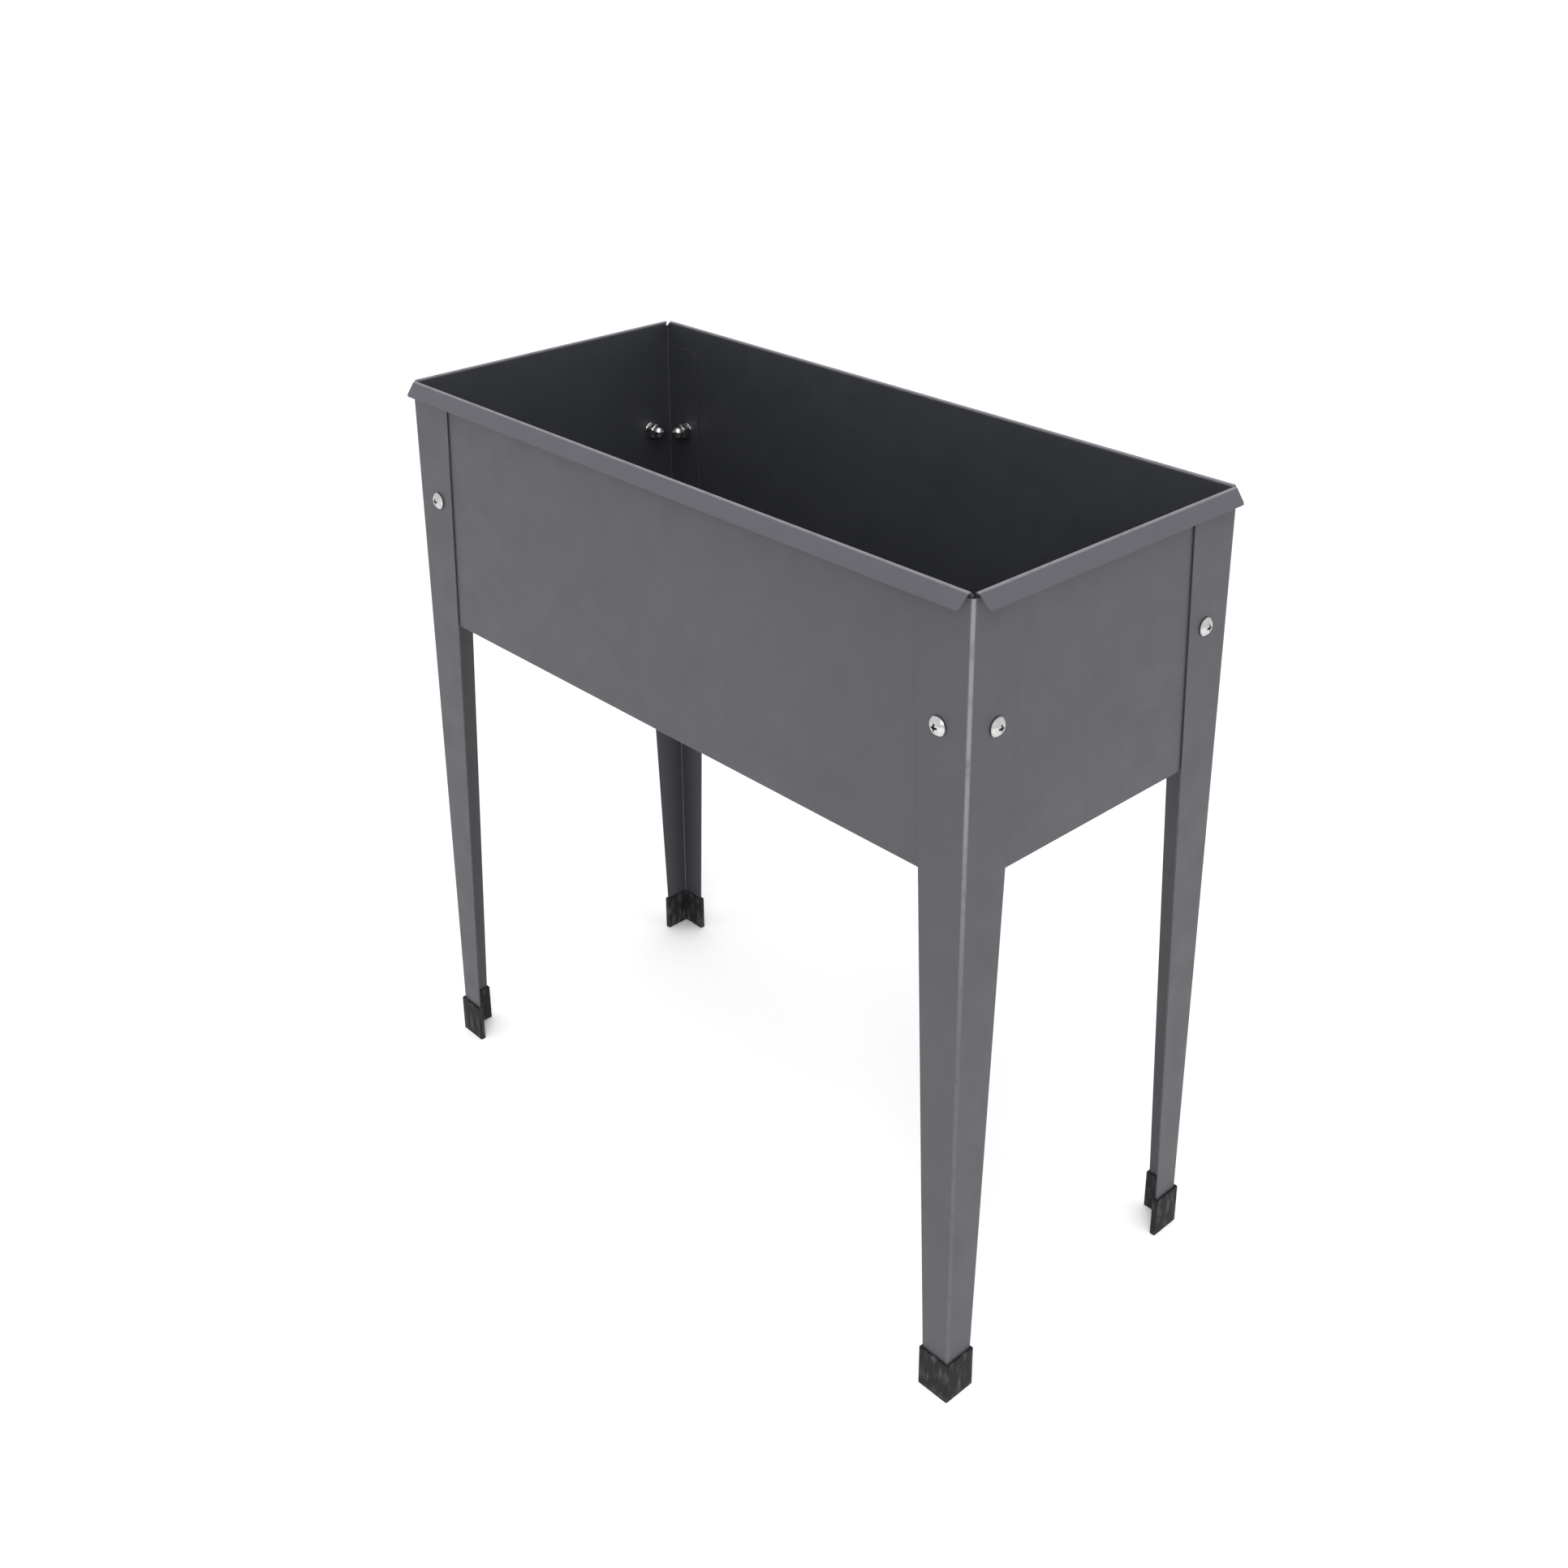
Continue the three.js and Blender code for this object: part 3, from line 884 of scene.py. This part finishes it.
@dataclass
class Tray:
    """The base tray: a floor of square cells, each round its drain hole, and a folded-up wall."""

    body: Body
    rim: float = 12 * MM
    end_gap: float = 1.8 * MM
    side_gap: float = 0.5 * MM
    corner: float = 4 * MM
    bend: float = 2.4 * MM
    drain: float = 5 * MM
    columns: int = 5
    rows: int = 2
    steps: int = 16

    def _cell(self, middle: np.ndarray, half: np.ndarray) -> np.ndarray:
        """One cell of floor: straight lines from a circle out to a rectangle's edge.

        The rectangle's points are evenly spaced along each edge, so cells meet point to point.
        A point is the circle's plus a share, the square of its row, of the way to the edge.

        Args:
            middle: Middle of the cell, which is the middle of its drain hole.
            half: Half its size along X and Y.

        Returns:
            A grid of points whose columns close.
        """
        walk = np.linspace(-1.0, 1.0, self.steps, endpoint=False)
        one = np.ones_like(walk)
        legs = [(walk, -one), (one, walk), (-walk, one), (-one, -walk)]
        edge = np.concatenate([np.stack(leg, axis=1) for leg in legs])
        angle = np.arctan2(edge[:, 1], edge[:, 0])
        circle = self.drain * np.stack([np.cos(angle), np.sin(angle)], axis=1)
        share = np.linspace(0.0, 1.0, 9) ** 2
        flat = circle[None] + share[:, None, None] * (edge * half - circle)[None]
        return np.concatenate([flat + middle, np.zeros((*flat.shape[:2], 1))], axis=-1)

    def _wall(self, half: np.ndarray) -> np.ndarray:
        """The strip outside the floor: level, then bent up, with a fan round each corner.

        The strip's line of (distance, height) is carried round the rectangle, each point going
        out along the edge's normal, and at a corner along normals that turn a quarter circle.

        Args:
            half: Half the size of the rectangle along X and Y.

        Returns:
            A grid of points whose columns close.
        """
        counts = [self.steps * self.columns, self.steps * self.rows] * 2
        corners = np.array([(-1.0, -1.0), (1.0, -1.0), (1.0, 1.0), (-1.0, 1.0)]) * half
        base: list[np.ndarray] = []
        ways: list[np.ndarray] = []
        for i, count in enumerate(counts):
            start, stop = corners[i], corners[(i + 1) % 4]
            walk = np.linspace(0.0, 1.0, count + 1)[:, None]
            base.append(start + walk * (stop - start))
            fan = (i - 1) * math.pi / 2 + np.linspace(0.0, math.pi / 2, 9)
            ways.append(np.tile([math.cos(fan[0]), math.sin(fan[0])], (count + 1, 1)))
            base.append(np.tile(stop, (len(fan), 1)))
            ways.append(np.stack([np.cos(fan), np.sin(fan)], axis=1))
        path = FoldPath(np.zeros(2), 0.0)
        path.straight(np.array([0.0, self.corner - self.bend]))
        path.bend(self.bend, math.pi / 2, 8)
        path.straight(np.linspace(0.0, self.rim - self.bend, 4)[1:])
        line = path.points()
        flat = np.concatenate(base)[None] + line[:, :1, None] * np.concatenate(ways)[None]
        height = np.broadcast_to(line[:, 1:, None], (*flat.shape[:2], 1))
        return np.concatenate([flat, height], axis=-1)

    def build(self, node: str, palette: Palette) -> None:
        """Builds the tray in place of a CAD node."""
        body = self.body
        length = body.half_length - body.panel_inset - body.panel_sheet - self.end_gap
        width = body.half_width - body.return_inset - body.panel_sheet - self.side_gap
        half = np.array([length, width]) - self.corner
        cell = half / np.array([self.columns, self.rows])
        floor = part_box(node)[0].z
        surface = Surface("base_tray_sheet", np.array(Matrix.Translation((0.0, 0.0, floor))))
        for column in range(self.columns):
            for row in range(self.rows):
                grid = np.array([2 * column + 1 - self.columns, 2 * row + 1 - self.rows])
                surface.add(self._cell(grid * cell, cell), closed=True)
        surface.add(self._wall(half), closed=True)
        piece = surface.build(outward=Vector((0.0, 0.0, -1.0)))
        give_thickness(piece, body.panel_sheet, 0.3 * MM)
        # The tray's upper face takes the inside coat, which is painted shade.
        coats = palette.coats
        dress(piece, "graphite_coat", [node], coats[Coat.OUTSIDE], coats[Coat.INSIDE])


@dataclass
class Legs:
    """The four tapered angle legs and their rubber foot caps."""

    body: Body
    fold: float = 2.5 * MM
    cut_edge: float = 0.4 * MM
    foot_painted_highlight: float = 0.25
    highlight_fade_low: float = 350 * MM
    highlight_fade_high: float = 700 * MM
    cap_wall: float = 2 * MM
    cap_floor: float = 3 * MM
    cap_edge: float = 0.6 * MM
    cap_corner: float = 0.35
    cap_outer: float = 1.6 * MM
    cap_inner: float = 0.8 * MM

    def _leg_grid(self) -> np.ndarray:
        """Outer face of a leg, with its fold at the origin.

        Across, a point lies on one flange, on the fold's quarter circle or on the other flange,
        and a flange's points keep their share of its width as the width tapers with height.

        Returns:
            A grid of points: rows upwards, columns from one flange's edge to the other's.
        """
        heights = spaced(self.body.leg_bottom, self.body.leg_top, 33)
        width = self.body.leg_flange(heights)[:, None] - self.fold
        share = np.concatenate([np.linspace(1.0, 0.02, 6), [0.0]])[None, :]
        run = self.fold + share * width
        angles = np.radians(np.linspace(-90.0, 0.0, 11))[1:-1]
        ones = np.ones_like(heights)[:, None]
        arc_x = ones * (self.fold * np.cos(angles) - self.fold)[None, :]
        arc_y = ones * (self.fold * np.sin(angles) + self.fold)[None, :]
        zero = np.zeros_like(run)
        x = np.concatenate([-run, arc_x, zero], axis=1)
        y = np.concatenate([zero, arc_y, run[:, ::-1]], axis=1)
        z = np.broadcast_to(heights[:, None], x.shape)
        return np.stack([x, y, z], axis=-1)

    def _mark_fold(self, piece: bpy.types.Object, place: np.ndarray) -> None:
        """Stores a painted highlight along a leg's fold: 1 under the rim, fading down to the foot's
        lower value.
        """
        local = local_points(piece, place)
        edge = np.maximum(-local[:, 0], local[:, 1])
        near = 1.0 - smoothstep(0.7 * self.fold, 1.2 * self.fold, edge)
        climb = smoothstep(self.highlight_fade_low, self.highlight_fade_high, local[:, 2])
        store_values(piece, "fold", near * (self.foot_painted_highlight + (1.0 - self.foot_painted_highlight) * climb))

    def _cap_grid(self, top: float) -> np.ndarray:
        """Surface of a foot cap: its outline carried through pairs of (growth, height).

        The pairs run from the underside's middle line, out round the bottom edge, up the wall,
        over a rounded rim and down the pocket to the middle line of its floor.

        Args:
            top: Height of the cap.

        Returns:
            A grid of points whose columns close.
        """
        body = self.body
        out = body.gap + self.cap_wall
        middle = -body.leg_sheet / 2
        edge = self.cap_edge
        rim = self.cap_wall / 2
        quarter = np.radians(np.linspace(-90.0, 0.0, 6))
        over = np.radians(np.linspace(0.0, 180.0, 13))
        ends = [(middle, 0.0), (0.5 * (out - edge), 0.0)]
        pairs = np.concatenate([
            np.array(ends),
            np.stack([out - edge + edge * np.cos(quarter), edge + edge * np.sin(quarter)], axis=1),
            np.stack([np.full(4, out), np.linspace(2 * edge, top - rim - edge, 4)], axis=1),
            np.stack([out - rim + rim * np.cos(over), top - rim + rim * np.sin(over)], axis=1),
            np.array([(body.gap, self.cap_floor), (middle, self.cap_floor)]),
        ])
        flange = body.leg_flange(top)
        rows = []
        for grow, height in pairs:
            inner = self.cap_outer if grow == middle else self.cap_inner
            line = angle_outline(
                flange, body.leg_sheet, grow, self.cap_corner, self.cap_outer, inner
            )
            rows.append(np.column_stack([line, np.full(len(line), height)]))
        return np.stack(rows)

    def build(self, turns: int, corner: str, palette: Palette) -> None:
        """Builds the leg and the cap of one corner.

        Args:
            turns: Quarter turns from the front right corner.
            corner: Its name.
            palette: The planter's finishes.
        """
        body = self.body
        place = body.corner_place(turns)
        leg = Surface(f"leg_{corner}_angle", place)
        leg.add(self._leg_grid())
        piece = leg.build(outward=Vector((1.0, -1.0, 0.0)))
        self._mark_fold(piece, place)
        give_thickness(piece, body.leg_sheet, self.cut_edge)
        # The leg's inner faces take painted shade.
        coats = palette.coats
        dress(piece, "graphite_coat", [f"leg_{corner}"], coats[Coat.OUTSIDE], coats[Coat.LEG_INSIDE])
        node = f"foot_cap_{corner}"
        cap = Surface(f"{node}_moulding", place)
        cap.add(self._cap_grid(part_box(node)[1].z), closed=True)
        dress(cap.build(), "black_rubber", [node], palette.rubber)


@dataclass
class Fasteners:
    """Bolts, washers and dome nuts. Each is turned about Y, with its outer end towards -Y."""

    body: Body
    from_fold: float = 33 * MM
    head: float = 9 * MM
    head_rise: float = 4.2 * MM
    head_edge: float = 0.8 * MM
    recess_half: float = 3.5 * MM
    recess_slot: float = 0.8 * MM
    recess_depth: float = 2.6 * MM
    shank: float = 4.9 * MM
    shank_in_nut: float = 12 * MM
    hole: float = 5.3 * MM
    washer: float = 10 * MM
    washer_thick: float = 2 * MM
    flats: float = 8 * MM
    hex_height: float = 8 * MM
    dome: float = 7.2 * MM
    nut_height: float = 18 * MM
    bore: float = 5.2 * MM
    bore_depth: float = 13 * MM

    @staticmethod
    def _ring(radius: np.ndarray, depth: np.ndarray, turn: np.ndarray) -> np.ndarray:
        """Points about Y from a radius, a place along Y and an angle, all the same shape."""
        return np.stack([radius * np.cos(turn), depth, radius * np.sin(turn)], axis=-1)

    def _turned(self, line: list[tuple[float, float]], steps: int) -> np.ndarray:
        """A line of (radius, y) carried round the axis."""
        pairs = np.array(line)
        turn = np.linspace(0.0, 2.0 * math.pi, steps, endpoint=False)[None, :]
        radius = np.broadcast_to(pairs[:, :1], (len(pairs), steps))
        depth = np.broadcast_to(pairs[:, 1:], (len(pairs), steps))
        return self._ring(radius, depth, np.broadcast_to(turn, radius.shape))

    def _head_grid(self, steps: int = 96) -> np.ndarray:
        """Crown of a bolt's head with its cross recess.

        The crown is a sphere's cap: its height at radius r is the square root of the sphere's
        radius squared less r squared, less the sphere's radius, plus the rise. The recess is
        taken from it: a depth times the larger of two bars' masks, each ramping over its wall.

        Args:
            steps: Points round the head.

        Returns:
            A grid of points from the middle to the head's edge.
        """
        fine = np.linspace(0.0, self.recess_half * 1.15, 26)
        radius = np.concatenate([fine, np.linspace(fine[-1], self.head, 14)[1:]])[:, None]
        turn = np.linspace(0.0, 2.0 * math.pi, steps, endpoint=False)[None, :]
        x, z = radius * np.cos(turn), radius * np.sin(turn)
        sphere = (self.head**2 + self.head_rise**2) / (2.0 * self.head_rise)
        crown = np.sqrt(sphere**2 - radius**2) - sphere + self.head_rise
        wall = 0.35 * MM

        def bar(along: np.ndarray, across: np.ndarray) -> np.ndarray:
            """Mask of one bar of the cross, from 1 on its floor to 0 outside."""
            ends = smoothstep(0.0, 3 * wall, self.recess_half - np.abs(along))
            sides = smoothstep(0.0, wall, self.recess_slot + wall / 2 - np.abs(across))
            return ends * sides

        sunk = self.recess_depth * np.maximum(bar(x, z), bar(z, x))
        depth = -(self.head_edge + crown - sunk)
        return np.stack([x, np.broadcast_to(depth, x.shape), z], axis=-1)

    def _mark_painted_bolt_shade(self, piece: bpy.types.Object, place: np.ndarray) -> None:
        """Stores painted shade: 1 in the recess of a bolt's head and on the head's edge, and 0
        elsewhere.

        A point is in the recess by how far it lies below the crown, which has its height from
        the same sphere as the head.
        """
        local = local_points(piece, place)
        radius = np.minimum(np.hypot(local[:, 0], local[:, 2]), self.head)
        sphere = (self.head**2 + self.head_rise**2) / (2.0 * self.head_rise)
        crown = np.sqrt(sphere**2 - radius**2) - sphere + self.head_rise
        below = self.head_edge + crown + local[:, 1]
        sunk = smoothstep(0.0, 0.25 * self.recess_depth, below)
        edge = smoothstep(self.head - 0.7 * MM, self.head, radius)
        store_values(piece, "painted_bolt_shade", np.maximum(sunk, 0.9 * edge))

    def _bolt(self, surface: Surface, grip: float) -> None:
        """Adds a bolt: the crown, then the head's edge, its underside and the shank."""
        edge = 0.25 * MM
        length = grip + self.shank_in_nut
        line = [
            (self.head, -self.head_edge),
            (self.head, -edge),
            (self.head - edge, 0.0),
            (self.shank, 0.0),
            (self.shank, length - 4 * edge),
            (self.shank - 4 * edge, length),
            (0.0, length),
        ]
        surface.add(self._head_grid(), closed=True)
        surface.add(self._turned(line, 96), closed=True)

    def _washer_line(self) -> list[tuple[float, float]]:
        """Section of a washer, closed on itself, with softened outer edges."""
        edge = 0.25 * MM
        thick = self.washer_thick
        return [
            (self.hole, 0.0),
            (self.washer - edge, 0.0),
            (self.washer, edge),
            (self.washer, thick - edge),
            (self.washer - edge, thick),
            (self.hole, thick),
            (self.hole, 0.0),
        ]

    def _nut_grid(self, steps: int = 96) -> np.ndarray:
        """Surface of a dome nut: bore, chamfered hexagon, shoulder and dome.

        The hexagon's radius at an angle is its half width over flats divided by the cosine of
        the angle from the nearest flat's middle, and the chamfer is a cone that cuts it: the
        radius is the smaller of the two. The dome is a half sphere on a short cylinder.

        Args:
            steps: Points round the nut.

        Returns:
            A grid of points from the bore's end to the crown.
        """
        turn = np.linspace(0.0, 2.0 * math.pi, steps, endpoint=False)
        sixth = math.pi / 3
        hexagon = self.flats / np.cos((turn + sixth / 2) % sixth - sixth / 2)
        wide = self.flats * 2
        soft = 0.4 * MM
        climb = np.linspace(0.0, 1.0, 6)
        cone = self.flats - soft + climb * 1.6 * MM
        height = climb * 0.9 * MM
        angle = np.radians(np.linspace(0.0, 90.0, 14))
        shoulder = self.nut_height - self.dome
        rows = [(0.0, self.bore_depth), (self.bore, self.bore_depth), (self.bore, soft)]
        rows += [(self.bore + soft, 0.0), *zip(cone, height)]
        rows += [(wide, 1.2 * MM), (wide, self.hex_height - 1.2 * MM)]
        rows += list(zip(cone[::-1], self.hex_height - height[::-1]))
        rows += [(self.dome + soft, self.hex_height), (self.dome, self.hex_height + soft)]
        rows += list(zip(self.dome * np.cos(angle), shoulder + self.dome * np.sin(angle)))
        pairs = np.array(rows)
        radius = np.minimum(pairs[:, :1], hexagon[None, :])
        depth = np.broadcast_to(pairs[:, 1:], radius.shape)
        return self._ring(radius, depth, np.broadcast_to(turn, radius.shape))

    def build(self, side: Side, end: int, place_name: str, palette: Palette) -> None:
        """Builds a bolt with its washer and dome nut.

        Args:
            side: The side of the box.
            end: -1 or 1, the end of that side.
            place_name: Side and end in words, as the CAD nodes have them.
            palette: The planter's finishes.
        """
        body = self.body
        inset = body.return_inset if side.is_long else body.panel_inset
        grip = inset + body.panel_sheet
        seat = grip + 2 * body.gap + self.washer_thick
        along = end * (body.half_span(side) - self.from_fold)
        low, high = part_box(f"bolt_{place_name}")
        up = 0.5 * (low.z + high.z)
        bolt_place = body.side_place(side, -body.gap, along, up)
        bolt = Surface(f"bolt_{place_name}_turned", bolt_place)
        self._bolt(bolt, seat + body.gap)
        piece = bolt.build()
        self._mark_painted_bolt_shade(piece, bolt_place)
        dress(piece, "bright_steel", [f"bolt_{place_name}"], palette.steel)
        washer_place = body.side_place(side, grip + body.gap, along, up)
        washer = Surface(f"washer_{place_name}_pressed", washer_place)
        washer.add(self._turned(self._washer_line(), 64), closed=True)
        dress(washer.build(), "bright_steel", [f"washer_{place_name}"], palette.steel)
        nut = Surface(f"dome_nut_{place_name}_turned", body.side_place(side, seat, along, up))
        nut.add(self._nut_grid(), closed=True)
        dress(nut.build(), "bright_steel", [f"dome_nut_{place_name}"], palette.steel)


# ---------------------------------------------------------------------------------------------
# Stage
# ---------------------------------------------------------------------------------------------


@dataclass
class Studio:
    """Pale floor, soft lights and the camera."""

    floor_size: float = 60.0
    floor_shade: float = 0.97
    sky_strength: float = 1.10
    camera_place: tuple[float, float, float] = (1.227, -1.144, 1.351)
    azimuth: float = math.radians(47.21)
    elevation: float = math.radians(22.36)
    roll: float = math.radians(-0.41)
    lens: float = 42.77
    sensor: float = 36.0
    shift_up: float = -0.140

    def floor(self) -> None:
        """Lays the floor under the feet."""
        half = self.floor_size / 2
        mesh = bpy.data.meshes.new("floor")
        corners = [(-half, -half, 0), (half, -half, 0), (half, half, 0), (-half, half, 0)]
        mesh.from_pydata(corners, [], [(0, 1, 2, 3)])
        floor = bpy.data.objects.new("floor", mesh)
        bpy.context.scene.collection.objects.link(floor)
        nodes = NodeTree("pale_floor")
        nodes.set(Base_Color=(*(self.floor_shade,) * 3, 1.0), Roughness=0.9)
        mesh.materials.append(nodes.material)

    def sky(self) -> None:
        """Fills the room with even white light."""
        world = bpy.data.worlds.new("studio")
        bpy.context.scene.world = world
        world.use_nodes = True
        background = world.node_tree.nodes["Background"]
        background.inputs["Color"].default_value = (1.0, 1.0, 1.0, 1.0)
        background.inputs["Strength"].default_value = self.sky_strength

    def lamp(
        self, name: str, place: tuple[float, float, float], size: float, power: float
    ) -> None:
        """Adds a square soft light aimed at the box.

        Args:
            name: Its name.
            place: Where it hangs.
            size: Length of its side.
            power: Its power in watts.
        """
        light = bpy.data.lights.new(name, "AREA")
        light.size = size
        light.energy = power
        lamp = bpy.data.objects.new(name, light)
        lamp.location = place
        aim = Vector((0.0, 0.0, 0.5)) - Vector(place)
        lamp.rotation_euler = aim.to_track_quat("-Z", "Y").to_euler()
        bpy.context.scene.collection.objects.link(lamp)

    def camera(self) -> None:
        """Sets up the camera at the viewing angle."""
        data = bpy.data.cameras.new("camera")
        data.lens = self.lens
        data.sensor_width = self.sensor
        data.shift_y = self.shift_up
        camera = bpy.data.objects.new("camera", data)
        turn = Matrix.Rotation(self.azimuth, 4, "Z")
        tilt = Matrix.Rotation(math.pi / 2 - self.elevation, 4, "X")
        roll = Matrix.Rotation(self.roll, 4, "Z")
        camera.matrix_world = Matrix.Translation(self.camera_place) @ turn @ tilt @ roll
        bpy.context.scene.collection.objects.link(camera)
        bpy.context.scene.camera = camera

    def build(self) -> None:
        """Sets the whole stage."""
        self.camera()
        self.floor()
        self.sky()
        self.lamp("key", (2.4, -2.8, 2.8), 1.6, 54.0)
        self.lamp("top", (1.2, -1.0, 4.0), 2.4, 50.0)
        bpy.context.scene.view_settings.view_transform = "Standard"


def main() -> None:
    """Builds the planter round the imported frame, and its stage."""
    logging.basicConfig(level=logging.INFO, format="%(name)s: %(message)s")
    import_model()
    Studio().build()
    body = Body()
    palette = Palette()
    panels = Panels(body)
    for side, node in [
        (Side.FRONT, "front_panel"),
        (Side.BACK, "back_panel"),
        (Side.LEFT, "left_end_panel"),
        (Side.RIGHT, "right_end_panel"),
    ]:
        panels.build(side, node, palette)
    Tray(body).build("base_tray", palette)
    legs = Legs(body)
    for turns, corner in enumerate(["front_right", "back_right", "back_left", "front_left"]):
        legs.build(turns, corner, palette)
    fasteners = Fasteners(body)
    ends = {
        Side.FRONT: ("left", "right"),
        Side.RIGHT: ("front", "back"),
        Side.BACK: ("right", "left"),
        Side.LEFT: ("back", "front"),
    }
    for side, names in ends.items():
        for end, name in zip((-1, 1), names):
            fasteners.build(side, end, f"{side.name.lower()}_{name}", palette)
    LOG.info("the planter is built")


if __name__ == "__main__":
    main()
